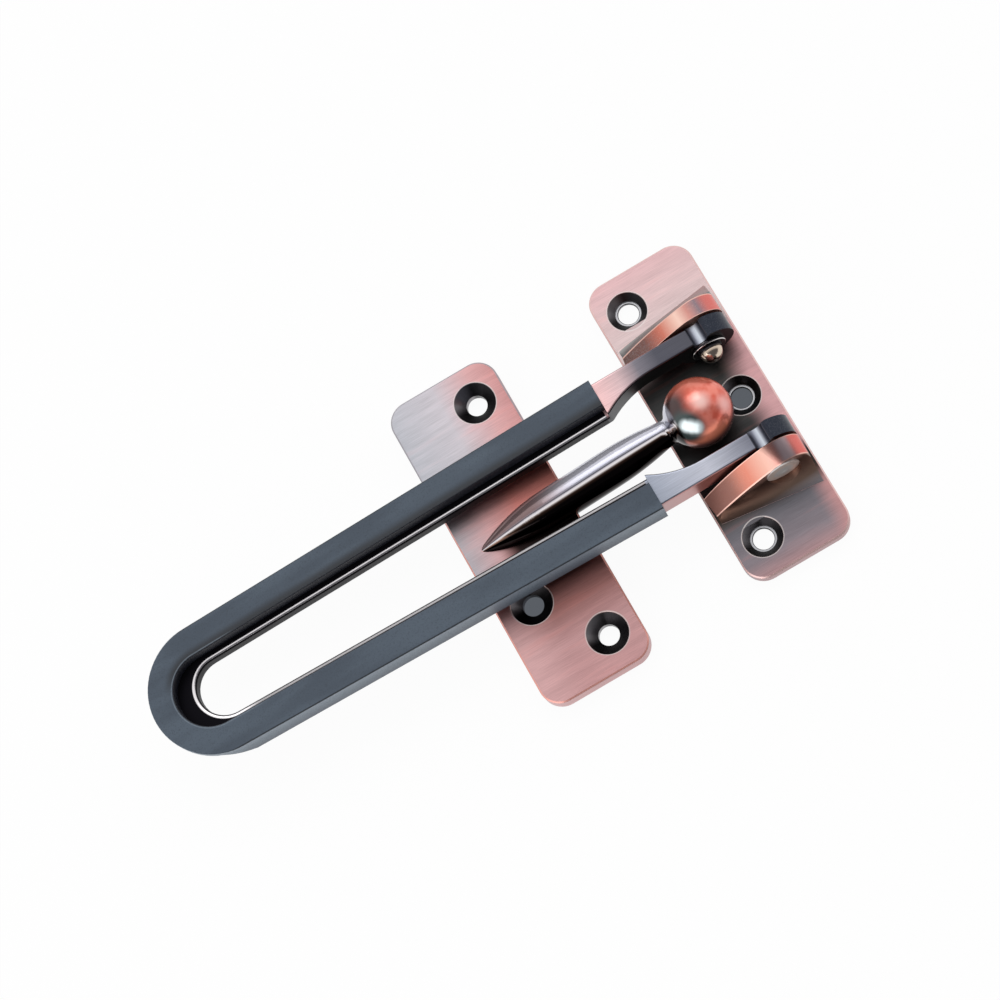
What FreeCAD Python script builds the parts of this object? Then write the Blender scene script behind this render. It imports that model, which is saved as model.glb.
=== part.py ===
"""Swing-bar door guard: a hinged loop that traps a ball on a separate keeper.

Frame: X runs along the bar towards its hinge, Y along the hinge pins, Z away from the door.
The origin is the middle of the hinge plate's back. The bar lies closed over the keeper.
"""
import FreeCAD, Part
import math
import os
import Sketcher

doc = FreeCAD.newDocument("DoorGuard")
sheet = doc.addObject("Spreadsheet::Sheet", "Sizes")

SKETCH_ORIGIN = (-1, 1)
SPOTS = {"start": 1, "end": 2, "centre": 3}
TOUCH = 1e-4


class Length:
    """A number that remembers how it was worked out, so that a feature can be bound to it."""

    def __init__(self, number, text):
        self.number = number
        self.text = text

    def _with(self, other, sign, work):
        other = other if isinstance(other, Length) else Length(other, repr(other))
        return Length(work(self.number, other.number), "(%s %s %s)" % (self.text, sign, other.text))

    def __add__(self, other):
        return self._with(other, "+", lambda a, b: a + b)

    def __sub__(self, other):
        return self._with(other, "-", lambda a, b: a - b)

    def __mul__(self, other):
        return self._with(other, "*", lambda a, b: a * b)

    def __truediv__(self, other):
        return self._with(other, "/", lambda a, b: a / b)

    def __neg__(self):
        return Length(-self.number, "(-1 * %s)" % self.text)


ZERO = Length(0.0, "0")
rows = []


def size(alias, number, what):
    """Writes one driving dimension into the sheet and returns it."""
    rows.append(alias)
    row = len(rows)
    sheet.set("A%d" % row, what)
    sheet.set("B%d" % row, str(number))
    sheet.setAlias("B%d" % row, alias)
    return Length(float(number), "Sizes." + alias)


# Both plates
plate_corner = size("plate_corner", 5.0, "radius of a plate's corner")
plate_rub = size("plate_rub", 0.35, "broken edge round the front of a plate")
screw_hole = size("screw_hole", 4.9, "diameter of a screw hole")
seat_angle = size("seat_angle", 90.0, "angle of a countersink")

# Hinge plate and its two ears
hinge_length = size("hinge_length", 80.0, "length of the hinge plate")
hinge_width = size("hinge_width", 26.6, "width of the hinge plate")
hinge_thick = size("hinge_thick", 2.8, "thickness of the hinge plate")
hinge_row_x = size("hinge_row_x", -6.0, "X of the hinge plate's row of two holes")
hinge_row_y = size("hinge_row_y", 31.1, "half the distance between those two holes")
hinge_third_x = size("hinge_third_x", 6.2, "X of the hinge plate's middle hole")
hinge_seat = size("hinge_seat", 9.4, "diameter of a hinge plate countersink at the front")
seat_step = size("seat_step", 6.1, "diameter of the step inside a hinge plate countersink")
seat_step_deep = size("seat_step_deep", 2.1, "depth of that step below the front")
pivot_x = size("pivot_x", 5.3, "X of the pin axis")
pivot_z = size("pivot_z", 9.8, "height of the pin axis")
ear_inner = size("ear_inner", 17.05, "Y of an ear's inner face")
ear_thick = size("ear_thick", 4.85, "thickness of an ear")
ear_inset = size("ear_inset", 0.25, "step in from the plate's edge to an ear's toe")
ear_toe = size("ear_toe", 3.9, "height of an ear's toe at its inner face")
ear_crown = size("ear_crown", 6.8, "radius of an ear's crown at its inner face")
ear_sail = size("ear_sail", 39.0, "radius of the long slope at an ear's inner face")
outer_toe = size("outer_toe", 3.0, "height of an ear's toe at its outer face")
outer_inset = size("outer_inset", 0.9, "step in from the plate's edge at the outer face")
outer_crown = size("outer_crown", 5.2, "radius of an ear's crown at its outer face")
outer_crown_z = size("outer_crown_z", 9.0, "height of the centre of that crown")
outer_sail = size("outer_sail", 58.0, "radius of the long slope at an ear's outer face")
foot_front = size("foot_front", 5.4, "reach of the hollow foot of an ear, at the crown's end")
foot_front_top = size("foot_front_top", 17.0, "height where that hollow begins, at the crown's end")
foot_front_hollow = size("foot_front_hollow", 18.0, "radius of that hollow at the crown's end")
foot_toe = size("foot_toe", 1.9, "reach of the hollow foot at the toe")
foot_toe_top = size("foot_toe_top", 3.3, "height where the hollow begins at the toe")
foot_toe_hollow = size("foot_toe_hollow", 5.0, "radius of the hollow at the toe")
foot_room = size("foot_room", 4.0, "room cut away above and beyond the foot")

# Hinge pins and washers
pin_width = size("pin_width", 3.8, "diameter of a hinge pin")
pin_play = size("pin_play", 0.05, "clearance between a pin and a bore, all round")
pin_short = size("pin_short", 0.1, "depth of a pin's flush end below the face round it")
head_width = size("head_width", 8.2, "diameter of the lower pin's head")
head_thick = size("head_thick", 0.35, "thickness of that head at its rim")
head_rise = size("head_rise", 0.25, "crown of that head")
head_room = size("head_room", 0.1, "clearance round that head in its seat")
dome_width = size("dome_width", 5.4, "diameter of the upper pin's domed head")
dome_thick = size("dome_thick", 0.2, "thickness of that head at its rim")
dome_rise = size("dome_rise", 2.4, "height of its dome")
flat_washer_width = size("flat_washer_width", 8.5, "diameter of the flat washer")
flat_washer_thick = size("flat_washer_thick", 0.9, "thickness of the flat washer")
washer_round = size("washer_round", 0.3, "rounding of the flat washer's rim")
small_washer_width = size("small_washer_width", 6.2, "diameter of the small washer")
small_washer_thick = size("small_washer_thick", 0.6, "thickness of the small washer")
washer_play = size("washer_play", 0.05, "clearance between the flat washer and its arm")

# Swing bar
arm_play = size("arm_play", 0.75, "clearance between an arm and an ear")
arm_thick = size("arm_thick", 4.5, "thickness of an arm where it is hinged")
bar_top = size("bar_top", 14.9, "height of the bare arms' top")
bar_bottom = size("bar_bottom", 7.6, "height of the bar's underside")
eye_radius = size("eye_radius", 6.8, "radius of an arm's eye")
mouth_x = size("mouth_x", -9.0, "X where an arm's inner side turns straight")
mouth_sweep = size("mouth_sweep", 24.0, "radius of the hollow sweep of the mouth")
notch_left = size("notch_left", 2.5, "X where the notch over the pin begins")
notch_right = size("notch_right", 6.0, "X where the notch over the pin ends")
notch_lip = size("notch_lip", 0.7, "height of the notch's far side above the arm's top")
notch_radius = size("notch_radius", 1.95, "radius of the notch")
notch_open = size("notch_open", 3.0, "room cut away above the notch")
notch_lean = size("notch_lean", 5.0, "lean of the notch's far side over that room")
lip_round = size("lip_round", 0.8, "rounding of the lip's edges")
arm_round = size("arm_round", 0.5, "rounding of the bare arms' edges")

# Sleeve over the bar, and the loop that both follow
sleeve_end_x = size("sleeve_end_x", -21.8, "X of the sleeve's open ends")
sleeve_top = size("sleeve_top", 15.5, "height of the sleeve's top")
sleeve_bottom = size("sleeve_bottom", 8.0, "height of the sleeve's outer skirt")
sleeve_wall = size("sleeve_wall", 1.3, "thickness of the sleeve")
sleeve_round = size("sleeve_round", 0.3, "rounding of the sleeve's edges")
relief_start = size("relief_start", -127.5, "X where the skirt begins to rise round the turn")
relief_end = size("relief_end", -134.5, "X where the skirt has risen in full")
relief_rise = size("relief_rise", 5.2, "rise of the skirt round the turn")
relief_room = size("relief_room", 3.0, "room cut away below and beyond the skirt")
ledge_drop = size("ledge_drop", 3.7, "depth of the lip's ledge below the sleeve's top")
outer_half = size("outer_half", 17.3, "half width over the sleeve at its open ends")
outer_turn_x = size("outer_turn_x", -128.8, "X of the centre of the loop's outer turn")
outer_turn = size("outer_turn", 15.4, "radius of the loop's outer turn")
inner_half = size("inner_half", 10.5, "half width inside the sleeve at its open ends")
inner_turn_x = size("inner_turn_x", -129.7, "X of the centre of the sleeve's inner turn")
inner_turn = size("inner_turn", 8.6, "radius of the sleeve's inner turn")
lip_half = size("lip_half", 8.3, "half width between the lips at the open ends")
lip_turn_x = size("lip_turn_x", -127.0, "X of the centre of the lip's turn")
lip_turn = size("lip_turn", 6.7, "radius of the lip's turn")

# Keeper
keeper_x = size("keeper_x", -52.7, "X of the keeper plate's middle")
keeper_y = size("keeper_y", -1.2, "Y of the keeper plate's middle")
keeper_length = size("keeper_length", 80.6, "length of the keeper plate")
keeper_width = size("keeper_width", 27.4, "width of the keeper plate")
keeper_thick = size("keeper_thick", 4.5, "thickness of the keeper plate")
keeper_seat = size("keeper_seat", 9.9, "diameter of a keeper plate countersink at the front")
keeper_row_x = size("keeper_row_x", 6.0, "X of the keeper's row of two holes from its middle")
keeper_row_y = size("keeper_row_y", 31.35, "half the distance between those two holes")
keeper_third_x = size("keeper_third_x", -5.5, "X of the keeper's third hole from its middle")
keeper_third_y = size("keeper_third_y", -16.6, "Y of the keeper's third hole from its middle")
ball_x = size("ball_x", 48.4, "X of the ball from the keeper plate's middle")
ball_z = size("ball_z", 11.7, "height of the ball")
ball_radius = size("ball_radius", 8.0, "radius of the ball")
stem_slope = size("stem_slope", 7.8, "slope of the stem in degrees")
belly_radius = size("belly_radius", 4.5, "radius of the stem's belly")
belly_near = size("belly_near", 24.0, "distance of the belly's near end from the ball's centre")
belly_far = size("belly_far", 40.0, "distance of the belly's far end from the ball's centre")
stem_swell = size("stem_swell", 82.0, "radius of the swell from the neck to the belly")
stem_tip = size("stem_tip", 59.8, "distance of the stem's tip from the ball's centre")
neck_blend = size("neck_blend", 0.9, "radius between the neck and the ball")

doc.recompute()


# Sketches

def plane(body, role):
    """One of a body's own origin planes, by its role."""
    return [feature for feature in body.Origin.OriginFeatures if feature.Role == role][0]


def sketch_on(body, name, role, lift=None):
    """A sketch on an origin plane, lifted along the plane's normal by a length."""
    sketch = body.newObject("Sketcher::SketchObject", name)
    sketch.AttachmentSupport = [(plane(body, role), "")]
    sketch.MapMode = "FlatFace"
    if lift is not None:
        sketch.setExpression("AttachmentOffset.Base.z", lift.text)
    return sketch


def bound(sketch, constraint, length):
    """Adds a constraint whose value follows a length."""
    index = sketch.addConstraint(constraint)
    sketch.setExpression("Constraints[%d]" % index, length.text)


def hold(sketch, curve, spot, x, y):
    """Holds one point of a curve at two lengths from the sketch's origin."""
    bound(sketch, Sketcher.Constraint("DistanceX", *SKETCH_ORIGIN, curve, SPOTS[spot], x.number), x)
    bound(sketch, Sketcher.Constraint("DistanceY", *SKETCH_ORIGIN, curve, SPOTS[spot], y.number), y)


def join(sketch, first, first_spot, second, second_spot, smooth=False):
    """Joins two curves at a point, tangent where smooth."""
    kind = "Tangent" if smooth else "Coincident"
    ends = (first, SPOTS[first_spot], second, SPOTS[second_spot])
    sketch.addConstraint(Sketcher.Constraint(kind, *ends))


def line(sketch, start, end):
    """A straight edge between two rough places, which the constraints then settle."""
    ends = [FreeCAD.Vector(place[0], place[1], 0) for place in (start, end)]
    return sketch.addGeometry(Part.LineSegment(*ends), False)


def arc(sketch, centre, radius, start, end):
    """An arc about a rough centre, anticlockwise from one angle in radians to another."""
    circle = Part.Circle(FreeCAD.Vector(centre[0], centre[1], 0), FreeCAD.Vector(0, 0, 1), radius)
    return sketch.addGeometry(Part.ArcOfCircle(circle, start, end), False)


def bend(sketch, start, end, radius, side):
    """An arc of a given radius between two rough places, its centre to the left or right."""
    half = math.hypot(end[0] - start[0], end[1] - start[1]) / 2
    along = math.atan2(end[1] - start[1], end[0] - start[0])
    away = along + side * math.pi / 2
    reach = math.sqrt(radius ** 2 - half ** 2)
    centre = ((start[0] + end[0]) / 2 + reach * math.cos(away),
              (start[1] + end[1]) / 2 + reach * math.sin(away))
    angles = [math.atan2(place[1] - centre[1], place[0] - centre[0]) for place in (start, end)]
    if side < 0:
        angles.reverse()
    return arc(sketch, centre, radius, *angles)


def circle_at(sketch, x, y, diameter):
    """A circle held at two lengths, with its diameter bound."""
    middle = FreeCAD.Vector(x.number, y.number, 0)
    circle = Part.Circle(middle, FreeCAD.Vector(0, 0, 1), diameter.number / 2)
    index = sketch.addGeometry(circle, False)
    hold(sketch, index, "centre", x, y)
    bound(sketch, Sketcher.Constraint("Diameter", index, diameter.number), diameter)


def polygon(sketch, corners):
    """A closed outline of straight edges through corners that are all held."""
    rough = [(x.number, y.number) for x, y in corners]
    count = len(corners)
    edges = [line(sketch, rough[i], rough[(i + 1) % count]) for i in range(count)]
    for i in range(count):
        join(sketch, edges[i], "end", edges[(i + 1) % count], "start")
        hold(sketch, edges[i], "start", *corners[i])


# Features

def pad(body, name, sketch, length, backwards=False):
    """A sketch raised by a length, along its normal or against it."""
    feature = body.newObject("PartDesign::Pad", name)
    feature.Profile = sketch
    feature.Reversed = backwards
    feature.setExpression("Length", length.text)
    doc.recompute()
    return feature


def cut(body, name, kind, profile, settings, bindings):
    """A cutting feature that must take something away."""
    before = body.Tip.Shape.Volume
    feature = body.newObject(kind, name)
    feature.Profile = profile
    for field, value in settings.items():
        setattr(feature, field, value)
    for field, length in bindings.items():
        feature.setExpression(field, length.text)
    doc.recompute()
    if feature.Shape.Volume >= before - TOUCH:
        raise ValueError("%s cuts nothing" % name)
    return feature


def mirror(body, name, feature, role):
    """The same feature again on the other side of one of the body's planes."""
    pattern = body.newObject("PartDesign::Mirrored", name)
    pattern.Originals = [feature]
    pattern.MirrorPlane = (plane(body, role), [""])
    body.Tip = pattern
    doc.recompute()
    return pattern


def edges_where(feature, test):
    """Names of the edges of a feature whose middle, direction and length pass a test."""
    names = []
    for number, edge in enumerate(feature.Shape.Edges, start=1):
        middle = edge.valueAt((edge.FirstParameter + edge.LastParameter) / 2)
        if test(edge, middle):
            names.append("Edge%d" % number)
    return names


def soften(body, name, kind, field, length, test):
    """A fillet or chamfer on the edges of the body's tip that pass a test."""
    base = body.Tip
    names = edges_where(base, test)
    if not names:
        raise ValueError("%s finds no edge" % name)
    feature = body.newObject(kind, name)
    feature.Base = (base, names)
    feature.setExpression(field, length.text)
    doc.recompute()
    return feature


def fillet(body, name, length, test):
    """Rounds the edges that pass a test."""
    return soften(body, name, "PartDesign::Fillet", "Radius", length, test)


def chamfer(body, name, length, test):
    """Breaks the edges that pass a test."""
    return soften(body, name, "PartDesign::Chamfer", "Size", length, test)


def is_upright(edge):
    """Whether an edge runs straight along Z."""
    ends = [vertex.Point for vertex in edge.Vertexes]
    return len(ends) == 2 and ends[0].distanceToPoint(ends[1]) > TOUCH and (
        abs(ends[0].x - ends[1].x) < TOUCH and abs(ends[0].y - ends[1].y) < TOUCH)


def is_level(edge, height):
    """Whether an edge lies wholly at one height."""
    return all(abs(vertex.Point.z - height) < TOUCH for vertex in edge.Vertexes)


def runs_along(edge):
    """Whether an edge runs along the bar rather than across it."""
    return abs(edge.Vertexes[0].Point.x - edge.Vertexes[-1].Point.x) > TOUCH


# Plates

def plate(body, width, length, thickness, seat_width, holes):
    """A plate with rounded corners, a broken front edge and countersunk holes."""
    outline = sketch_on(body, body.Name + "_outline", "XY_Plane")
    half_x, half_y = width / 2, length / 2
    polygon(outline, [(-half_x, -half_y), (half_x, -half_y), (half_x, half_y), (-half_x, half_y)])
    pad(body, body.Name + "_plate", outline, thickness)
    fillet(body, body.Name + "_corners", plate_corner, lambda edge, middle: is_upright(edge))
    chamfer(body, body.Name + "_rubbed_edge", plate_rub,
            lambda edge, middle: is_level(edge, thickness.number))
    centres = sketch_on(body, body.Name + "_hole_centres", "XY_Plane", thickness)
    for x, y in holes:
        circle_at(centres, x, y, screw_hole)
    doc.recompute()
    cut(body, body.Name + "_screw_holes", "PartDesign::Hole", centres,
        {"DepthType": "ThroughAll", "HoleCutType": "Countersink", "HoleCutCustomValues": True},
        {"Diameter": screw_hole, "HoleCutDiameter": seat_width, "HoleCutCountersinkAngle": seat_angle})


# Hinge plate

def ear_profile(body, name, lift, inset, toe, crown, crown_x, crown_z, sail):
    """Side view of an ear: a long slope that rises from the toe and rolls over the crown."""
    sketch = sketch_on(body, name, "XZ_Plane", lift)
    left = inset - hinge_width / 2
    root = hinge_thick / 2
    right = crown_x + crown
    toe_place = (left.number, toe.number)
    crown_place = (crown_x.number, crown_z.number)
    gap = math.hypot(crown_place[0] - toe_place[0], crown_place[1] - toe_place[1])
    reach = sail.number - crown.number
    turn = math.acos((gap ** 2 + sail.number ** 2 - reach ** 2) / (2 * gap * sail.number))
    aim = math.atan2(crown_place[1] - toe_place[1], crown_place[0] - toe_place[0]) - turn
    sail_place = (toe_place[0] + sail.number * math.cos(aim), toe_place[1] + sail.number * math.sin(aim))
    tangent = math.atan2(crown_place[1] - sail_place[1], crown_place[0] - sail_place[0])
    toe_angle = math.atan2(toe_place[1] - sail_place[1], toe_place[0] - sail_place[0])
    over = arc(sketch, crown_place, crown.number, 0, tangent)
    slope = arc(sketch, sail_place, sail.number, tangent, toe_angle)
    front = line(sketch, toe_place, (left.number, root.number))
    base = line(sketch, (left.number, root.number), (right.number, root.number))
    back = line(sketch, (right.number, root.number), (right.number, crown_z.number))
    join(sketch, over, "end", slope, "start", smooth=True)
    join(sketch, slope, "end", front, "start")
    join(sketch, front, "end", base, "start")
    join(sketch, base, "end", back, "start")
    join(sketch, back, "end", over, "start")
    hold(sketch, over, "centre", crown_x, crown_z)
    hold(sketch, back, "end", right, crown_z)
    hold(sketch, base, "end", right, root)
    hold(sketch, base, "start", left, root)
    hold(sketch, front, "start", left, toe)
    bound(sketch, Sketcher.Constraint("Radius", slope, sail.number), sail)
    return sketch


hinge = doc.addObject("PartDesign::Body", "hinge_plate")
hinge_holes = [(hinge_row_x, hinge_row_y), (hinge_row_x, -hinge_row_y), (hinge_third_x, ZERO)]
plate(hinge, hinge_width, hinge_length, hinge_thick, hinge_seat, hinge_holes)
steps = sketch_on(hinge, "hinge_seat_steps", "XY_Plane", hinge_thick)
for step_x, step_y in hinge_holes:
    circle_at(steps, step_x, step_y, seat_step)
doc.recompute()
cut(hinge, "hinge_seat_step", "PartDesign::Pocket", steps, {"Type": "Length"}, {"Length": seat_step_deep})

near_side = ear_profile(hinge, "ear_inner_side", -ear_inner, ear_inset, ear_toe, ear_crown,
                        pivot_x, pivot_z, ear_sail)
far_side = ear_profile(hinge, "ear_outer_side", -(ear_inner + ear_thick), outer_inset, outer_toe,
                       outer_crown, pivot_x + ear_crown - outer_crown, outer_crown_z, outer_sail)
doc.recompute()
ear = hinge.newObject("PartDesign::AdditiveLoft", "ear")
ear.Profile = near_side
ear.Sections = [far_side]
ear.Ruled = True
doc.recompute()
mirror(hinge, "other_ear", ear, "XZ_Plane")

def hollow_section(body, name, place, reach, top, radius):
    """What is cut away outside an ear: everything beyond an arc that falls to the plate."""
    sketch = sketch_on(body, name, "YZ_Plane", place)
    face = ear_inner + ear_thick
    end = face + reach
    sky = foot_front_top + foot_room
    beyond = face + foot_front + foot_room
    corners = [(face, top), (face, sky), (beyond, sky), (beyond, hinge_thick), (end, hinge_thick)]
    edges = []
    for first, second in zip(corners, corners[1:]):
        edges.append(line(sketch, *[(y.number, z.number) for y, z in (first, second)]))
        hold(sketch, edges[-1], "start", *first)
    hold(sketch, edges[-1], "end", *corners[-1])
    hollow = bend(sketch, *[(y.number, z.number) for y, z in (corners[0], corners[-1])], radius.number, 1)
    for first, second in zip(edges, edges[1:]):
        join(sketch, first, "end", second, "start")
    join(sketch, edges[-1], "end", hollow, "end")
    join(sketch, hollow, "start", edges[0], "start")
    bound(sketch, Sketcher.Constraint("Radius", hollow, radius.number), radius)
    return sketch


foot = pad(hinge, "ear_foot", far_side, foot_front, backwards=True)
mirror(hinge, "other_foot", foot, "XZ_Plane")
toe_hollow = hollow_section(hinge, "hollow_at_toe", -hinge_width / 2, foot_toe, foot_toe_top,
                            foot_toe_hollow)
crown_hollow = hollow_section(hinge, "hollow_at_crown", hinge_width / 2, foot_front, foot_front_top,
                              foot_front_hollow)
doc.recompute()
hollow_cut = cut(hinge, "foot_hollow", "PartDesign::SubtractiveLoft", toe_hollow,
                 {"Sections": [crown_hollow], "Ruled": True}, {})
mirror(hinge, "other_hollow", hollow_cut, "XZ_Plane")


def pin_bore(body, name):
    """A bore along the pin axis, through everything on both sides."""
    sketch = sketch_on(body, name + "_centre", "XZ_Plane")
    circle_at(sketch, pivot_x, pivot_z, pin_width + pin_play * 2)
    doc.recompute()
    cut(body, name, "PartDesign::Pocket", sketch, {"SideType": "Symmetric", "Type": "Length"},
        {"Length": hinge_length})


pin_bore(hinge, "ear_bores")
head_seat = sketch_on(hinge, "head_seat_centre", "XZ_Plane", ear_inner + ear_thick)
circle_at(head_seat, pivot_x, pivot_z, head_width + head_room * 2)
doc.recompute()
cut(hinge, "head_seat", "PartDesign::Pocket", head_seat, {"Type": "Length", "Reversed": True},
    {"Length": foot_front})


# Hinge pins and washers

def placed_body(name):
    """A body whose own origin stands on the pin axis, in the middle between the ears."""
    body = doc.addObject("PartDesign::Body", name)
    body.setExpression("Placement.Base.x", pivot_x.text)
    body.setExpression("Placement.Base.z", pivot_z.text)
    return body


def headed_pin(name, under_head, end, width, thick, rise):
    """A pin with a crowned head, driven in from the lower side and finished flush at its end."""
    pin = placed_body(name)
    profile = sketch_on(pin, name + "_profile", "XY_Plane")
    shank, head = pin_width / 2, width / 2
    rim = under_head - thick
    corners = [(ZERO, end), (ZERO, rim - rise), (head, rim), (head, under_head), (shank, under_head),
               (shank, end)]
    rough = [(x.number, y.number) for x, y in corners]
    axis = line(profile, rough[0], rough[1])
    radius = (head * head + rise * rise) / (rise * 2)
    crown = bend(profile, rough[1], rough[2], radius.number, 1)
    edges = [line(profile, rough[i], rough[(i + 1) % len(rough)]) for i in range(2, len(rough))]
    chain = [axis, crown] + edges
    for i, edge in enumerate(chain):
        join(profile, edge, "end", chain[(i + 1) % len(chain)], "start")
    hold(profile, axis, "start", *corners[0])
    hold(profile, axis, "end", *corners[1])
    for edge, corner in zip(edges, corners[2:]):
        hold(profile, edge, "start", *corner)
    bound(profile, Sketcher.Constraint("Radius", crown, radius.number), radius)
    doc.recompute()
    spin = pin.newObject("PartDesign::Revolution", name + "_turned")
    spin.Profile = profile
    spin.ReferenceAxis = (profile, ["V_Axis"])
    doc.recompute()


def washer(name, outward, width, thickness):
    """A ring round the upper pin, from its outward face towards the middle."""
    body = placed_body(name)
    ring = sketch_on(body, name + "_ring", "XZ_Plane", -outward)
    circle_at(ring, ZERO, ZERO, width)
    circle_at(ring, ZERO, ZERO, pin_width + pin_play * 2)
    doc.recompute()
    pad(body, name + "_blank", ring, thickness)
    return body


ear_face = ear_inner + ear_thick
arm_outer = ear_inner - arm_play
arm_inner = arm_outer - arm_thick
flat_washer_end = arm_inner - washer_play
small_washer_end = flat_washer_end - flat_washer_thick
headed_pin("upper_hinge_pin", small_washer_end - small_washer_thick, ear_face - pin_short, dome_width,
           dome_thick, dome_rise)
headed_pin("lower_hinge_pin", -ear_face, -arm_inner - pin_short, head_width, head_thick, head_rise)
flat_ring = washer("flat_washer", flat_washer_end, flat_washer_width, flat_washer_thick)
fillet(flat_ring, "flat_washer_rim", washer_round,
       lambda edge, middle: edge.Length > math.pi * (flat_washer_width - washer_round).number)
washer("small_washer", small_washer_end, small_washer_width, small_washer_thick)


# Swing bar

def turn_round(sketch, half, turn_x, radius):
    """The loop's turn with its two straight sides back to the sleeve's open ends."""
    start = (sleeve_end_x.number, half.number)
    reach = start[0] - turn_x.number
    tilt = math.atan2(half.number - radius.number, reach)
    touch = (turn_x.number - radius.number * math.sin(tilt), radius.number * math.cos(tilt))
    upper = line(sketch, start, touch)
    round_end = arc(sketch, (turn_x.number, 0), radius.number, math.pi / 2 + tilt, 3 * math.pi / 2 - tilt)
    lower = line(sketch, (touch[0], -touch[1]), (start[0], -start[1]))
    join(sketch, upper, "end", round_end, "start", smooth=True)
    join(sketch, round_end, "end", lower, "start", smooth=True)
    hold(sketch, round_end, "centre", turn_x, ZERO)
    bound(sketch, Sketcher.Constraint("Radius", round_end, radius.number), radius)
    hold(sketch, upper, "start", sleeve_end_x, half)
    hold(sketch, lower, "end", sleeve_end_x, -half)
    return upper, lower


def band(body, name, lift, outer, inner):
    """Plan of a band round the loop, between an outer and an inner turn, square at its ends."""
    sketch = sketch_on(body, name, "XY_Plane", lift)
    outer_sides = turn_round(sketch, *outer)
    inner_sides = turn_round(sketch, *inner)
    for number, side in enumerate((1, -1)):
        places = [(sleeve_end_x.number, side * loop[0].number) for loop in (outer, inner)]
        end = line(sketch, *places)
        spot = "end" if number else "start"
        join(sketch, end, "start", outer_sides[number], spot)
        join(sketch, end, "end", inner_sides[number], spot)
    doc.recompute()
    return sketch


skin = (outer_half, outer_turn_x, outer_turn)
skin_under = (outer_half - sleeve_wall, outer_turn_x, outer_turn - sleeve_wall)
slot = (inner_half, inner_turn_x, inner_turn)
slot_under = (inner_half + sleeve_wall, inner_turn_x, inner_turn + sleeve_wall)
lip = (lip_half, lip_turn_x, lip_turn)
ledge = sleeve_top - ledge_drop
seat = sleeve_top - sleeve_wall

sleeve = doc.addObject("PartDesign::Body", "bar_sleeve")
pad(sleeve, "sleeve_skirt", band(sleeve, "skirt_plan", sleeve_bottom, skin, skin_under),
    sleeve_top - sleeve_bottom)
relief = sketch_on(sleeve, "relief_side", "XZ_Plane")
beyond = outer_turn_x - outer_turn - relief_room
below = sleeve_bottom - relief_room
risen = sleeve_bottom + relief_rise
polygon(relief, [(beyond, below), (relief_start, below), (relief_start, sleeve_bottom),
                 (relief_end, risen), (beyond, risen)])
doc.recompute()
cut(sleeve, "skirt_relief", "PartDesign::Pocket", relief, {"SideType": "Symmetric", "Type": "Length"},
    {"Length": hinge_length})
pad(sleeve, "sleeve_crown", band(sleeve, "crown_plan", ledge, skin_under, slot), sleeve_top - ledge)
cut(sleeve, "sleeve_hollow", "PartDesign::Pocket",
    band(sleeve, "hollow_plan", ledge, skin_under, slot_under),
    {"Type": "Length", "Reversed": True}, {"Length": seat - ledge})
fillet(sleeve, "sleeve_edges", sleeve_round, lambda edge, middle: is_level(edge, sleeve_top.number)
       and abs(middle.x - sleeve_end_x.number) > TOUCH)

bar = doc.addObject("PartDesign::Body", "swing_bar")
pad(bar, "bar_core", band(bar, "core_plan", bar_bottom, skin_under, lip), seat - bar_bottom)
over_lip = sketch_on(bar, "ledge_plan", "XY_Plane", seat)
upper_side, lower_side = turn_round(over_lip, *slot_under)
across = line(over_lip, (sleeve_end_x.number, -slot_under[0].number),
              (sleeve_end_x.number, slot_under[0].number))
join(over_lip, lower_side, "end", across, "start")
join(over_lip, across, "end", upper_side, "start")
doc.recompute()
cut(bar, "ledge", "PartDesign::Pocket", over_lip, {"Type": "Length"}, {"Length": seat - ledge})


def in_slot(middle):
    """Whether an edge borders the slot or the mouth rather than the outside of the bar."""
    return abs(middle.y) < arm_inner.number + TOUCH and middle.x > lip_turn_x.number - lip_turn.number - TOUCH


fillet(bar, "lip_top", lip_round,
       lambda edge, middle: is_level(edge, ledge.number) and in_slot(middle)
       and abs(middle.y) < lip_half.number + TOUCH)

arm_plan = sketch_on(bar, "arm_plan", "XY_Plane", bar_bottom)
hollow_y = arm_inner - mouth_sweep
drop = lip_half.number - hollow_y.number
reach = mouth_x.number - sleeve_end_x.number
turn_radius = (drop ** 2 + reach ** 2 - mouth_sweep.number ** 2) / (2 * (mouth_sweep.number - drop))
swing = math.atan2(drop + turn_radius, -reach)
turn_centre = (sleeve_end_x.number, lip_half.number + turn_radius)
end_x, start_x = pivot_x.number, sleeve_end_x.number
outer_edge = line(arm_plan, (end_x, arm_outer.number), (start_x, arm_outer.number))
shoulder = line(arm_plan, (start_x, arm_outer.number), (start_x, lip_half.number))
turn_out = arc(arm_plan, turn_centre, turn_radius, -math.pi / 2, swing - math.pi)
sweep = arc(arm_plan, (mouth_x.number, hollow_y.number), mouth_sweep.number, math.pi / 2, swing)
inner_edge = line(arm_plan, (mouth_x.number, arm_inner.number), (end_x, arm_inner.number))
eye_edge = line(arm_plan, (end_x, arm_inner.number), (end_x, arm_outer.number))
join(arm_plan, outer_edge, "end", shoulder, "start")
join(arm_plan, shoulder, "end", turn_out, "start")
join(arm_plan, turn_out, "end", sweep, "end", smooth=True)
join(arm_plan, sweep, "start", inner_edge, "start")
join(arm_plan, inner_edge, "end", eye_edge, "start")
join(arm_plan, eye_edge, "end", outer_edge, "start")
hold(arm_plan, shoulder, "start", sleeve_end_x, arm_outer)
hold(arm_plan, shoulder, "end", sleeve_end_x, lip_half)
hold(arm_plan, inner_edge, "start", mouth_x, arm_inner)
hold(arm_plan, eye_edge, "start", pivot_x, arm_inner)
hold(arm_plan, eye_edge, "end", pivot_x, arm_outer)
hold(arm_plan, sweep, "centre", mouth_x, hollow_y)
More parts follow.
